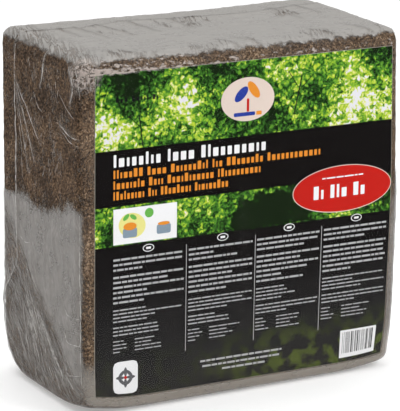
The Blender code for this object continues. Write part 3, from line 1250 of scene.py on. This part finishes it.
@dataclass
class InkLayer:
    """All the shapes of one ink at one level."""

    name: str
    finish: InkFinish
    level: int
    shapes: list[Bar | Disc]
    corner: float = 0.0
    thickness: float = 0.00003
    pitch: float = 0.008

    def build(self) -> Piece:
        """Draws the shapes flat, rounds their corners, and lays them on the sheet.

        Returns:
            The finished piece.
        """
        Bench.clear()
        bpy.ops.mesh.primitive_cube_add(size=0.001)
        piece = bpy.context.object
        piece.name = self.name
        bpy.ops.object.mode_set(mode="EDIT")
        bpy.ops.mesh.delete(type="VERT")
        for bar in (shape for shape in self.shapes if isinstance(shape, Bar)):
            self.draw_bar(bar)
        if self.corner:
            self.round_corners(piece)
        for disc in (shape for shape in self.shapes if isinstance(shape, Disc)):
            self.draw_disc(disc)
        bpy.ops.object.mode_set(mode="OBJECT")
        flat = Bench.places(piece)
        low, high = flat.min(0), flat.max(0)
        bpy.ops.object.mode_set(mode="EDIT")
        for axis in range(2):
            for i in range(math.floor((high[axis] - low[axis]) / self.pitch)):
                self.cut(axis, low[axis] + (i + 0.5) * self.pitch)
        Bench.clear()
        flat = Bench.places(piece)
        lift = FORM.label_lift + FORM.label_thickness + (self.level - 0.5) * self.thickness + flat[:, 2]
        Bench.move(piece, FORM.on_block(FORM.label_places(flat), lift))
        piece.data.materials.append(self.finish.make())
        Bench.hand_over(piece, "label_print")
        return piece

    def draw_bar(self, bar: Bar) -> None:
        """Adds one bar, as a thin slab, to the mesh being edited."""
        bpy.ops.mesh.primitive_cube_add(
            size=1.0,
            location=(bar.right * MILLIMETRE, bar.up * MILLIMETRE, 0.0),
            rotation=(0.0, 0.0, bar.turn),
            scale=(bar.wide * MILLIMETRE, bar.tall * MILLIMETRE, self.thickness),
        )

    def draw_disc(self, disc: Disc) -> None:
        """Adds one oval, as a thin slab, to the mesh being edited.

        Args:
            disc: The oval.
        """
        bpy.ops.mesh.primitive_cylinder_add(vertices=disc.sides, radius=0.5, depth=1.0)
        bpy.ops.transform.resize(value=(disc.wide * MILLIMETRE, disc.tall * MILLIMETRE, self.thickness))
        bpy.ops.transform.rotate(value=disc.turn, orient_axis="Z", center_override=(0.0, 0.0, 0.0))
        bpy.ops.transform.translate(value=(disc.right * MILLIMETRE, disc.up * MILLIMETRE, 0.0))

    def round_corners(self, piece: Piece) -> None:
        """Rounds the upright edges of the slabs.

        Args:
            piece: The piece being edited.
        """
        bpy.ops.mesh.select_all(action="DESELECT")
        bpy.ops.mesh.select_mode(type="EDGE")
        bpy.ops.object.mode_set(mode="OBJECT")
        points = piece.data.vertices
        for edge in piece.data.edges:
            low, high = (points[corner].co.z for corner in edge.vertices)
            edge.select = abs(low - high) > self.thickness / 2
        bpy.ops.object.mode_set(mode="EDIT")
        bpy.ops.mesh.bevel(offset=self.corner, affect="EDGES", segments=2)

    def cut(self, axis: int, place: float) -> None:
        """Cuts the flat shapes along one line, so that they can follow the sheet.

        Args:
            axis: 0 for an upright line, and 1 for a level one.
            place: Where it crosses that axis.
        """
        bpy.ops.mesh.select_all(action="SELECT")
        at, way = [0.0, 0.0, 0.0], [0.0, 0.0, 0.0]
        at[axis], way[axis] = place, 1.0
        bpy.ops.mesh.bisect(plane_co=at, plane_no=way)


class TextRows:
    """Rows of bars that stand where lines of print would be.

    Marks are given in shares of their pitch or height, and bars in millimetres.
    """

    MARK_WIDTHS = (0.24, 0.40, 0.50)
    MARK_GAP = 0.24
    GROUP_GAP = 0.45
    TALL_CHANCE = 0.22
    LOW_HEIGHT = 0.70
    BAR_LENGTHS = (2.5, 9.0)
    BAR_GAP = 0.9

    @staticmethod
    def marks(left: float, base: float, widths: list[int], tall: float, pitch: float, seed: int) -> list[Bar]:
        """A row of small marks in groups.

        Args:
            left: Where the row starts.
            base: The height of its base line.
            widths: The number of marks in each group.
            tall: The height of the tallest marks.
            pitch: The distance from mark to mark.
            seed: Seeds the marks' sizes.

        Returns:
            The marks.
        """
        draw = random.Random(seed)
        marks, right = [], left
        for count in widths:
            for i in range(count):
                wide = pitch * draw.choice(TextRows.MARK_WIDTHS)
                is_tall = i == 0 or draw.random() < TextRows.TALL_CHANCE
                high = tall * (1.0 if is_tall else TextRows.LOW_HEIGHT)
                marks.append(Bar(right + wide / 2, base + high / 2, wide, high))
                right += wide + TextRows.MARK_GAP * pitch
            right += pitch * TextRows.GROUP_GAP
        return marks

    @staticmethod
    def words(
        left: float, right: float, base: float, tall: float, full: bool, draw: random.Random
    ) -> list[Bar]:
        """A row of word-sized bars.

        Args:
            left: Where the row starts.
            right: Where it ends, if it is full.
            base: The height of its base line.
            tall: The bars' height.
            full: Whether the row runs on to its end.
            draw: Draws the words' lengths.

        Returns:
            The bars.
        """
        end = right if full else left + (right - left) * draw.uniform(0.35, 0.85)
        bars, place = [], left
        while place < end - 1.5:
            wide = min(draw.uniform(*TextRows.BAR_LENGTHS), end - place)
            bars.append(Bar(place + wide / 2, base + tall / 2, wide, tall))
            place += wide + TextRows.BAR_GAP
        return bars


@dataclass
class LabelPrint:
    """The crisp shapes printed on the sheet, in millimetres from its middle.  All are plain stand-ins."""

    column_lefts: tuple[float, ...] = (-122.6, -53.0, 11.1, 74.9)
    column_rights: tuple[float, ...] = (-57.6, 6.8, 70.5, 135.9)
    column_top: float = -19.0
    column_step: float = 0.6
    group_gap: float = 2.0
    full_chance: float = 0.62
    groups: tuple[Triple, ...] = ((3, 1.7, 4.3), (6, 1.7, 4.3), (4, 1.1, 3.2), (3, 1.1, 3.2))
    ring_places: tuple[float, ...] = (-90.5, -21.4, 41.4, 106.0)
    emblem: Span = (0.4, 104.5)
    badge: Span = (-111.1, -120.0)
    picture: Span = (-93.6, 9.6)
    seed: int = 11
    white: InkFinish = InkFinish("white_ink", (0.86, 0.86, 0.87), (0.55, 0.55, 0.56))
    pale: InkFinish = InkFinish("pale_ink", (0.72, 0.60, 0.53), (0.60, 0.52, 0.47))
    grey: InkFinish = InkFinish("grey_ink", (0.46, 0.46, 0.47), (0.20, 0.20, 0.21))
    orange: InkFinish = InkFinish("orange_ink", (0.76, 0.27, 0.030), (0.50, 0.20, 0.05))
    red: InkFinish = InkFinish("red_ink", (0.52, 0.014, 0.009), (0.40, 0.03, 0.02))
    blue: InkFinish = InkFinish("blue_ink", (0.020, 0.045, 0.30), (0.10, 0.14, 0.38))
    black: InkFinish = InkFinish("black_ink", (0.007, 0.007, 0.008), (0.05, 0.05, 0.05))
    green: InkFinish = InkFinish("green_ink", (0.13, 0.42, 0.07), (0.22, 0.48, 0.15))
    yellow: InkFinish = InkFinish("yellow_ink", (0.78, 0.74, 0.26), (0.70, 0.66, 0.30))
    dim: InkFinish = InkFinish("dim_ink", (0.10, 0.10, 0.11), (0.3, 0.3, 0.3))
    slate: InkFinish = InkFinish("slate_ink", (0.22, 0.29, 0.36), (0.35, 0.40, 0.45))

    def columns(self) -> list[Bar]:
        """The four columns of small rows."""
        bars: list[Bar] = []
        for number, (left, right) in enumerate(zip(self.column_lefts, self.column_rights)):
            draw = random.Random(self.seed + number)
            base = self.column_top + self.column_step * number
            for rows, tall, step in self.groups:
                for row in range(rows):
                    full = row < rows - 1 and draw.random() < self.full_chance
                    bars += TextRows.words(left, right, base, tall, full, draw)
                    base -= step
                base -= self.group_gap
            for row in range(4):
                bars += TextRows.words(left, left + 18, base, 0.9, False, draw)
                bars += TextRows.words(left + 20, left + 56, base, 0.9, False, draw)
                base -= 3.1
        return bars

    def petals(self, at: Span, inner: float, length: float, wide: float, count: int) -> list[Disc]:
        """A round of leaf shapes.

        Args:
            at: Its middle.
            inner: The free radius in its middle.
            length: A leaf's length.
            wide: A leaf's width.
            count: The number of leaves.

        Returns:
            The leaves.
        """
        found = []
        for i in range(count):
            angle = 2 * math.pi * i / count
            reach = inner + length / 2
            place = (at[0] + reach * math.cos(angle), at[1] + reach * math.sin(angle))
            found.append(Disc(place[0], place[1], length, wide, angle, 12))
        return found

    def stripes(self, left: float, right: float, middle: float, tall: float) -> list[Bar]:
        """A panel of upright stripes of uneven width.

        Args:
            left: Where it starts.
            right: Where it ends.
            middle: The height of its middle.
            tall: The stripes' height.

        Returns:
            The stripes.
        """
        draw = random.Random(self.seed + 20)
        bars, place = [], left
        while place < right - 0.8:
            wide = draw.choice((0.35, 0.35, 0.7, 1.1))
            bars.append(Bar(place + wide / 2, middle, wide, tall))
            place += wide + draw.choice((0.45, 0.45, 0.8, 1.2))
        return bars

    def twigs(self) -> list[Bar]:
        """Dark twigs among the leaves."""
        return [
            Bar(48.0, 104.0, 34.0, 1.1, 1.35),
            Bar(54.0, 112.0, 20.0, 0.7, 0.75),
            Bar(43.0, 118.0, 16.0, 0.7, 2.15),
            Bar(58.0, 95.0, 15.0, 0.6, 1.95),
            Bar(-98.0, 88.0, 26.0, 0.9, 1.70),
            Bar(-104.0, 96.0, 14.0, 0.6, 2.40),
        ]

    def layers(self) -> list[InkLayer]:
        """Lists the layers from the sheet outwards."""
        draw = random.Random(self.seed + 30)
        headline = TextRows.marks(-122.6, 59.6, [8, 4, 10], 10.4, 9.8, 1)
        orange = TextRows.marks(-122.7, 50.2, [7, 4, 9, 3, 8, 12], 7.0, 6.5, 2)
        orange += TextRows.marks(-122.7, 41.3, [8, 4, 11, 11], 7.0, 6.1, 3)
        orange += TextRows.marks(-122.7, 32.3, [9, 3, 8, 9], 7.0, 5.6, 4)
        address = TextRows.words(-41.1, 37.3, -117.0, 1.7, True, draw)
        address += TextRows.words(-39.0, 35.0, -121.5, 1.7, True, draw)
        address += TextRows.words(-20.0, 22.0, -126.0, 1.7, True, draw)
        site = TextRows.marks(-120.8, 112.8, [3, 5, 2], 4.2, 5.6, 5)
        emblem, badge, picture = self.emblem, self.badge, self.picture
        blue_marks = [
            Disc(emblem[0] - 6.0, emblem[1] + 4.6, 16.0, 7.8, 2.35),
            Bar(emblem[0] - 3.0, emblem[1] - 12.4, 20.0, 3.2),
        ]
        orange_marks = [
            Disc(emblem[0] + 5.6, emblem[1] + 7.6, 17.0, 7.4, 0.95),
            Bar(emblem[0] + 10.6, emblem[1] - 12.4, 5.0, 3.2),
        ]
        content = TextRows.marks(64.0, 11.0, [2, 3, 2], 11.5, 9.6, 6)
        note = TextRows.words(72.0, 112.0, 28.0, 1.2, True, draw)
        rings = [(right, -10.2 + 0.01 * right) for right in self.ring_places]
        separators = [Bar(right, -58.5, 0.55, 92.0) for right in (-55.3, 9.5, 72.6)]
        ground = Disc(picture[0] - 12.0, picture[1], 25.0, 21.0, 0.3)
        pots = [Bar(picture[0] + across, picture[1] - 6.0, 13.0, 8.0) for across in (-14.0, 17.0)]
        heaps = [
            Disc(picture[0] - 14.0, picture[1] - 0.6, 12.0, 6.5),
            Disc(picture[0] + 17.0, picture[1] - 1.4, 11.0, 3.0),
        ]
        sprouts = [
            Disc(picture[0] - 11.0, picture[1] + 7.0, 7.0, 3.6, 0.6),
            Disc(picture[0] - 17.5, picture[1] + 7.4, 7.0, 3.6, 2.4),
            Disc(picture[0] + 3.5, picture[1] + 9.0, 8.0, 8.0),
        ]
        return [
            InkLayer("twig_print", self.black, 1, self.twigs()),
            InkLayer("headline_print", self.white, 1, headline, 0.0006),
            InkLayer("subline_print", self.orange, 1, orange, 0.0004),
            InkLayer("column_print", self.grey, 1, self.columns() + address),
            InkLayer("separator_print", self.grey, 2, separators),
            InkLayer("site_print", self.black, 1, site, 0.0003),
            InkLayer("emblem_ground", self.pale, 1, [Disc(emblem[0], emblem[1], 50.0, 37.0, 0.0, 48)]),
            InkLayer("emblem_blue", self.blue, 2, blue_marks, 0.0010),
            InkLayer("emblem_orange", self.orange, 2, orange_marks, 0.0004),
            InkLayer("emblem_red", self.red, 2, [Bar(emblem[0] + 0.2, emblem[1] - 5.0, 2.2, 11.0)], 0.0004),
            InkLayer("content_rim", self.pale, 1, [Disc(91.7, 18.2, 95.6, 41.0, 0.0, 64)]),
            InkLayer("content_field", self.red, 2, [Disc(91.7, 18.2, 94.2, 39.6, 0.0, 64)]),
            InkLayer("content_print", self.white, 3, content + note, 0.0003),
            InkLayer("ring_rims", self.white, 1, [Disc(right, up, 10.5, 6.5) for right, up in rings]),
            InkLayer("ring_fields", self.black, 2, [Disc(right, up, 9.1, 5.2) for right, up in rings]),
            InkLayer("ring_marks", self.white, 3, [Bar(right, up, 4.4, 1.9) for right, up in rings], 0.0003),
            InkLayer("picture_ground", self.white, 1, [Bar(picture[0], picture[1], 58.2, 30.0)]),
            InkLayer("picture_yellow", self.yellow, 2, [ground]),
            InkLayer("picture_slate", self.slate, 3, pots, 0.0016),
            InkLayer("picture_orange", self.orange, 4, heaps),
            InkLayer("picture_green", self.green, 4, sprouts),
            InkLayer("badge_ground", self.white, 1, [Bar(badge[0], badge[1], 22.8, 28.7)], 0.0045),
            InkLayer("badge_leaves", self.dim, 2, self.petals(badge, 1.0, 8.0, 3.0, 8)),
            InkLayer("badge_heart", self.red, 2, [Disc(badge[0], badge[1], 3.0, 3.0)]),
            InkLayer("stripe_ground", self.white, 1, [Bar(113.1, -120.9, 36.2, 24.7)]),
            InkLayer("stripe_print", self.black, 2, self.stripes(97.5, 128.9, -119.9, 19.0)),
        ]

    def build(self) -> None:
        """Prints every layer."""
        for layer in self.layers():
            layer.build()


@dataclass
class ShrinkFilm:
    """The clear film, with its seam, folds and gathers."""

    cuts: int = 55
    wall: float = 0.00006
    wrinkle: float = 0.0005
    crease_sharpness: float = 2.4
    ridge_grain: Triple = (0.05, 0.0060, 0.060)
    wrinkle_grain: Triple = (0.012, 0.016, 0.030)
    vent_diameter: float = 0.0060
    vent_height: float = 0.2200

    def relief(self, places: np.ndarray) -> np.ndarray:
        """How far the film stands off beyond its tight form.

        Args:
            places: Points on the plain box, one in each row.

        Returns:
            The extra lift at each point.
        """
        half = FORM.half
        lift = FOLDS.rise(places)
        slant = FOLDS.pleat_turn
        across = places[:, 1] * math.cos(slant) + places[:, 2] * math.sin(slant)
        along = places[:, 2] * math.cos(slant) - places[:, 1] * math.sin(slant)
        turned = np.column_stack([places[:, 0], across, along])
        ridges = (1 - np.abs(noise_at(turned, self.ridge_grain, 5.0))) ** 4
        low_side = smooth_step(0.0, 0.02, -0.04 - places[:, 2])
        low_side *= smooth_step(-0.5, 0.0, -places[:, 0] / half[0])
        narrow = smooth_step(0.96, 1.0, np.maximum(np.abs(places[:, 0]) / half[0], places[:, 2] / half[2]))
        small = (1 - np.abs(noise_at(places, self.wrinkle_grain, 21.0))) ** 5
        foot = smooth_step(0.004, 0.016, places[:, 2] + half[2])
        return lift + foot * self.wrinkle * narrow * (1.5 * low_side * ridges + small)

    def build(self) -> Piece:
        """Makes the film.

        Returns:
            The finished piece.
        """
        piece = Bench.box("film_wrap", self.cuts)
        bpy.ops.object.mode_set(mode="OBJECT")
        Bench.pick_faces(piece, lambda face: abs(face.normal.x) > 0.5 or face.normal.z > 0.5)
        bpy.ops.object.mode_set(mode="EDIT")
        bpy.ops.mesh.subdivide(number_cuts=1)
        Bench.clear()
        places = Bench.places(piece)
        crease = FOLDS.rise(places, self.crease_sharpness) / FOLDS.fold_height
        lift = FORM.outer_lift(places) + self.relief(places)
        Bench.move(piece, FORM.on_block(places, lift))
        strength = piece.data.attributes.new("crease", "FLOAT", "POINT")
        strength.data.foreach_set("value", crease.astype(np.float32))
        plain = piece.data.attributes.new("plain", "FLOAT_VECTOR", "POINT")
        plain.data.foreach_set("vector", places.astype(np.float32).ravel())
        self.vent(piece)
        Bench.apply(piece, "SOLIDIFY", thickness=self.wall, offset=-1.0)
        Bench.smooth(piece)
        piece.data.materials.append(FilmFinish().make())
        Bench.hand_over(piece, "clear_film", "shrink_film")
        return piece

    def vent(self, piece: Piece) -> None:
        """Cuts the vent hole through the back of the film.

        Args:
            piece: The film, before it has its wall.
        """
        Bench.clear()
        bpy.ops.mesh.primitive_cylinder_add(
            vertices=24,
            radius=self.vent_diameter / 2,
            depth=0.02,
            location=(0.0, FORM.half[1], self.vent_height),
            rotation=(math.pi / 2, 0.0, 0.0),
        )
        punch = bpy.context.object
        Bench.apply(piece, "BOOLEAN", operation="DIFFERENCE", object=punch, solver="EXACT")
        bpy.data.objects.remove(punch)
        reach = self.vent_diameter / 2 + 0.0002
        middle = Vector((0.0, self.vent_height))
        Bench.pick_faces(piece, lambda face: face.center.y > 0 and (face.center.xz - middle).length < reach)
        Bench.only(piece)
        bpy.ops.object.mode_set(mode="EDIT")
        bpy.ops.mesh.select_mode(type="FACE")
        bpy.ops.mesh.delete(type="FACE")
        bpy.ops.object.mode_set(mode="OBJECT")


@dataclass
class FilmCreases:
    """Fine doubled lines of film that catch the light, mostly on the narrow left side."""

    depth: float = 0.00022
    proud: float = 0.00012
    step: float = 0.0025
    waver: float = 0.0009
    waver_length: float = 0.009
    pleat_strokes: int = 34
    upper_strokes: int = 70
    corner_strokes: int = 9
    far_strokes: int = 40
    seed: int = 5

    def measured(self) -> Strokes:
        """The lines that stand out in the photograph: depth and height in millimetres, and weight."""
        return [
            ([(40, 299), (41.5, 250), (41, 200), (42, 150), (42, 112), (40, 105)], 1.3),
            ([(40, 105), (52, 90), (61, 79), (71, 62)], 1.1),
            ([(38, 128), (27, 125), (16, 127)], 0.8),
            ([(-75, 172), (-74, 120), (-76, 84), (-75, 60), (-76, 31), (-75, 12)], 0.8),
            ([(-48, 89), (-56, 84), (-75, 85)], 1.1),
            ([(-47, 68), (-56, 60), (-75, 62)], 1.3),
            ([(-50, 37), (-58, 31), (-75, 35)], 1.2),
            ([(-56, 31), (-66, 14)], 0.8),
            ([(-19, 298), (-14, 280), (-7, 264)], 1.2),
            ([(-62, 292), (-70, 275), (-63, 262)], 1.2),
            ([(-69, 298), (-74, 280), (-76, 268)], 1.0),
            ([(-46, 242), (-62, 236), (-76, 235)], 1.2),
            ([(-46, 238), (-60, 231), (-75, 229)], 0.9),
            ([(-42, 266), (-54, 257), (-70, 250)], 0.7),
            ([(41, 262), (18, 240), (-5, 216)], 0.9),
            ([(41, 260), (22, 230), (5, 200)], 0.8),
            ([(41, 257), (28, 220), (18, 188)], 0.7),
            ([(41, 252), (33, 215), (30, 180)], 0.6),
            ([(8, 258), (-2, 246), (-10, 244)], 0.7),
        ]

    def gathered(self) -> Strokes:
        """Lines along the slanted pleats, and short strokes above them."""
        draw = random.Random(self.seed)
        lines: Strokes = []
        for _ in range(self.pleat_strokes):
            share = draw.random()
            top = (39 - 38 * share + draw.uniform(-2, 2), 107 - 32 * share)
            foot = (20 - 86 * share + draw.uniform(-6, 6), 10 + draw.uniform(0, 4))
            low, high = sorted((draw.random() ** 1.5, draw.uniform(0.35, 1.0)))
            parts = (low, (low + high) / 2, high)
            ends = [tuple(a + (b - a) * part for a, b in zip(top, foot)) for part in parts]
            bow = draw.uniform(-2.5, 2.5)
            ends[1] = (ends[1][0] + bow, ends[1][1] + bow)
            lines.append((ends, draw.uniform(0.35, 0.9)))
        return lines + self.strokes(self.upper_strokes, (185, 285), draw)

    def strokes(self, count: int, span: Span, draw: random.Random) -> Strokes:
        """Short strokes of drawn film between two heights.

        Args:
            count: The number of strokes.
            span: The lowest and highest start.
            draw: Draws their places, ways and weights.

        Returns:
            The strokes.
        """
        lines: Strokes = []
        for _ in range(count):
            y, z = draw.uniform(-40, 36), draw.uniform(*span)
            reach, turn = draw.uniform(3, 9), math.radians(draw.gauss(110, 22))
            end = (y + reach * math.cos(turn), z + reach * math.sin(turn))
            lines.append(([(y, z), end], draw.uniform(0.25, 0.6)))
        return lines

    def hidden(self) -> Strokes:
        """Lines of the right side, which the photograph doesn't show: a seam, drawn corners and strokes."""
        draw = random.Random(self.seed + 1)
        lines: Strokes = [([(42, 22), (41, 120), (42, 298)], 1.2)]
        for upper in (False, True):
            for _ in range(self.corner_strokes):
                rise, reach = draw.uniform(25, 85), draw.uniform(20, 95)
                corners = [(41, 6 + rise), (41 - reach * 0.5, 6 + rise * 0.55), (41 - reach, 8 + rise * 0.25)]
                if upper:
                    corners = [(y, 304 - z) for y, z in corners]
                lines.append((corners, draw.uniform(0.4, 0.9)))
        return lines + self.strokes(self.far_strokes, (60, 240), draw)

    def sample(self, points: FlatLine, side: Side) -> np.ndarray:
        """Runs along a line of a narrow side in short steps.

        Args:
            points: The line's corners, as depth and height in millimetres.
            side: The side that the line is on.

        Returns:
            Points on the film, in the frame.
        """
        corners = np.array(points) * MILLIMETRE
        reach = np.concatenate([[0], np.cumsum(np.linalg.norm(np.diff(corners, axis=0), axis=1))])
        along = np.linspace(0, reach[-1], max(3, round(reach[-1] / self.step)))
        y, z = (np.interp(along, reach, corners[:, i]) for i in range(2))
        half = FORM.half
        places = np.column_stack([np.full(len(y), side.value * half[0]), y, z - half[2] - FORM.base_lift])
        places[:, 1] += self.waver * noise_at(places, (self.waver_length,) * 3, 40.0)
        places = np.clip(places, -half, half)
        return FORM.on_block(places, FORM.outer_lift(places) + ShrinkFilm().relief(places) + self.proud)

    def build(self) -> Piece:
        """Draws the lines as thin tapered cords and joins them.

        Returns:
            The finished piece.
        """
        cords = bpy.data.curves.new("film_creases", "CURVE")
        cords.dimensions = "3D"
        cords.bevel_depth = self.depth
        cords.bevel_resolution = 1
        lines = [(*line, Side.LEFT) for line in self.measured() + self.gathered()]
        lines += [(*line, Side.RIGHT) for line in self.hidden()]
        for points, weight, side in lines:
            places = self.sample(points, side)
            cord = cords.splines.new("POLY")
            cord.points.add(len(places) - 1)
            for i, place in enumerate(places):
                cord.points[i].co = (*place, 1.0)
                cord.points[i].radius = weight * (0.25 + 0.75 * math.sin(math.pi * i / (len(places) - 1)))
        piece = bpy.data.objects.new("film_creases", cords)
        bpy.context.scene.collection.objects.link(piece)
        Bench.only(piece)
        bpy.ops.object.convert(target="MESH")
        piece = bpy.context.object
        Bench.smooth(piece)
        piece.data.materials.append(CreaseFinish().make())
        Bench.hand_over(piece, "clear_film")
        return piece


@dataclass
class Stage:
    """The pale floor, the soft light, and the camera at the photograph's angle."""

    focal_pixels: float = 2666.0
    frame_long_side: int = 411
    sensor: float = 36.0
    azimuth: float = math.radians(-28.55)
    elevation: float = math.radians(15.05)
    roll: float = math.radians(0.32)
    aim: Triple = (0.0, 0.0, 0.15)
    slide: Span = (-0.0012, 0.0051)
    distance: float = 2.285
    floor_size: float = 40.0
    floor_drop: float = 0.0004
    floor_glow: float = 0.28
    sky: float = 0.45
    lamps: tuple[tuple[str, Triple, float, float], ...] = (
        ("key_light", (1.3, -1.6, 1.9), 1.6, 34.0),
        ("top_light", (-0.2, 0.5, 2.2), 1.8, 30.0),
        ("side_light", (-2.2, -0.3, 1.1), 1.2, 2.5),
    )

    def floor(self) -> None:
        """Lays a plain pale floor."""
        Bench.clear()
        bpy.ops.mesh.primitive_plane_add(size=self.floor_size, location=(0.0, 0.0, -self.floor_drop))
        floor = bpy.context.object
        floor.name = "floor"
        paint = bpy.data.materials.new("pale_floor")
        paint.use_nodes = True
        shader = paint.node_tree.nodes["Principled BSDF"]
        shader.inputs["Base Color"].default_value = (0.90, 0.90, 0.90, 1.0)
        shader.inputs["Roughness"].default_value = 0.9
        shader.inputs["Specular IOR Level"].default_value = 0.0
        shader.inputs["Emission Color"].default_value = (1.0, 1.0, 1.0, 1.0)
        shader.inputs["Emission Strength"].default_value = self.floor_glow
        floor.data.materials.append(paint)

    def lamp(self, name: str, at: Triple, size: float, power: float) -> None:
        """Hangs a square soft light that looks at the block.

        Args:
            name: Its name.
            at: Its place.
            size: The length of its sides.
            power: Its power in watts.
        """
        data = bpy.data.lights.new(name, "AREA")
        data.shape, data.size, data.energy = "SQUARE", size, power
        lamp = bpy.data.objects.new(name, data)
        bpy.context.scene.collection.objects.link(lamp)
        lamp.location = at
        lamp.rotation_euler = (Vector(self.aim) - Vector(at)).to_track_quat("-Z", "Y").to_euler()

    def camera(self) -> None:
        """Sets the camera where the photograph was taken from."""
        az, el = self.azimuth, self.elevation
        back = Vector((math.sin(az) * math.cos(el), -math.cos(az) * math.cos(el), math.sin(el)))
        level = Vector((0, 0, 1)).cross(back).normalized()
        upright = back.cross(level)
        right = math.cos(self.roll) * level + math.sin(self.roll) * upright
        up = math.cos(self.roll) * upright - math.sin(self.roll) * level
        data = bpy.data.cameras.new("camera")
        data.sensor_width = self.sensor
        data.lens = self.focal_pixels * self.sensor / self.frame_long_side
        camera = bpy.data.objects.new("camera", data)
        bpy.context.scene.collection.objects.link(camera)
        turn = Matrix((right, up, back)).transposed().to_4x4()
        place = Vector(self.aim) - self.slide[0] * right - self.slide[1] * up + self.distance * back
        camera.matrix_world = Matrix.Translation(place) @ turn
        bpy.context.scene.camera = camera

    def build(self) -> None:
        """Sets the whole stage."""
        self.floor()
        for name, at, size, power in self.lamps:
            self.lamp(name, at, size, power)
        world = bpy.data.worlds.new("studio")
        world.use_nodes = True
        sky = world.node_tree.nodes["Background"]
        sky.inputs["Color"].default_value = (1.0, 1.0, 1.0, 1.0)
        sky.inputs["Strength"].default_value = self.sky
        scene = bpy.context.scene
        scene.world = world
        scene.view_settings.view_transform = "Standard"
        self.camera()


def main() -> None:
    """Builds the block, the sheet, its print, the film and the stage."""
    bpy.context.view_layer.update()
    PressedBlock().build()
    PrintedSheet().build()
    LabelPrint().build()
    ShrinkFilm().build()
    FilmCreases().build()
    Stage().build()


if __name__ == "__main__":
    main()
